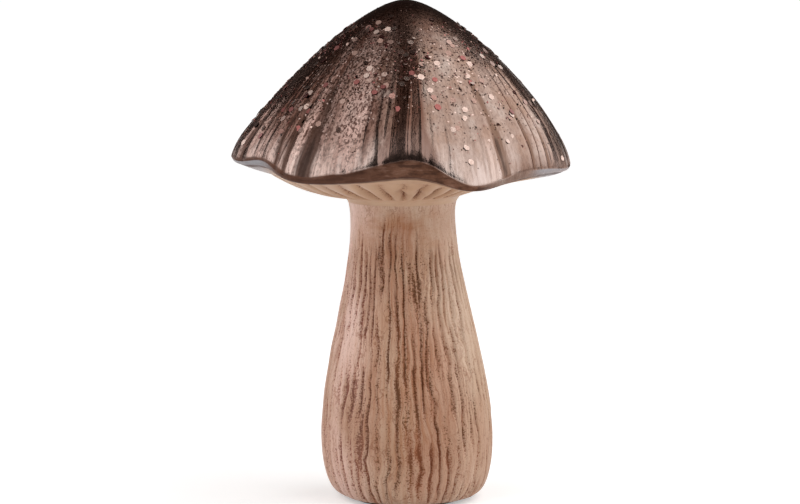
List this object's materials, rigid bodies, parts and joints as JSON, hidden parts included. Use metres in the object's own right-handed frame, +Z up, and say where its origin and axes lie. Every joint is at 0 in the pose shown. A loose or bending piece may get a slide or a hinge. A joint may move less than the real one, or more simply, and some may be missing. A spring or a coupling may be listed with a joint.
{
  "type": "mushroom ornament",
  "caption": "Standing mushroom ornament: a lobed, creased cap in metallic lacquer with glitter on a grooved, wood-toned stem, hollow and glued together.",
  "frame": {"origin": "centre of the felt pad's underside, on the surface that the ornament stands on", "axes": "+Z up through the stem and cap, -Y towards the front of the ornament, +X to its right as seen from the front"},
  "size_m": [0.142, 0.1366, 0.2106],
  "materials": {
    "cap_lacquer": "brown metallic lacquer on cast earthenware, satin to glossy, darker in the creases",
    "stem_paint": "pinkish tan paint on cast earthenware with a dark brown wash in the grooves",
    "gill_paint": "tan paint on cast earthenware with a thin brown wash between the gills",
    "felt": "dark brown wool felt",
    "adhesive": "cured clear-yellow adhesive",
    "glitter": "rose-copper metallised film, mirror bright"
  },
  "bodies": {
    "root": {"base_felt": "felt", "stem_shell": "stem_paint", "gill_disc": "gill_paint", "stem_adhesive_sleeve": "adhesive", "cap_adhesive_ring": "adhesive", "cap_shell": "cap_lacquer", "glitter_flake_01": "glitter", "glitter_flake_02": "glitter", "glitter_flake_03": "glitter", "glitter_flake_04": "glitter", "glitter_flake_05": "glitter", "glitter_flake_06": "glitter", "glitter_flake_07": "glitter", "glitter_flake_08": "glitter", "glitter_flake_09": "glitter", "glitter_flake_10": "glitter", "glitter_flake_11": "glitter", "glitter_flake_12": "glitter", "glitter_flake_13": "glitter", "glitter_flake_14": "glitter", "glitter_flake_15": "glitter", "glitter_flake_16": "glitter", "glitter_flake_17": "glitter", "glitter_flake_18": "glitter", "glitter_flake_19": "glitter", "glitter_flake_20": "glitter", "glitter_flake_21": "glitter", "glitter_flake_22": "glitter", "glitter_flake_23": "glitter", "glitter_flake_24": "glitter", "glitter_flake_25": "glitter", "glitter_flake_26": "glitter", "glitter_flake_27": "glitter", "glitter_flake_28": "glitter", "glitter_flake_29": "glitter", "glitter_flake_30": "glitter", "glitter_flake_31": "glitter", "glitter_flake_32": "glitter", "glitter_flake_33": "glitter", "glitter_flake_34": "glitter", "glitter_flake_35": "glitter", "glitter_flake_36": "glitter", "glitter_flake_37": "glitter", "glitter_flake_38": "glitter", "glitter_flake_39": "glitter", "glitter_flake_40": "glitter", "glitter_flake_41": "glitter", "glitter_flake_42": "glitter", "glitter_flake_43": "glitter", "glitter_flake_44": "glitter"}
  },
  "joints": []
}
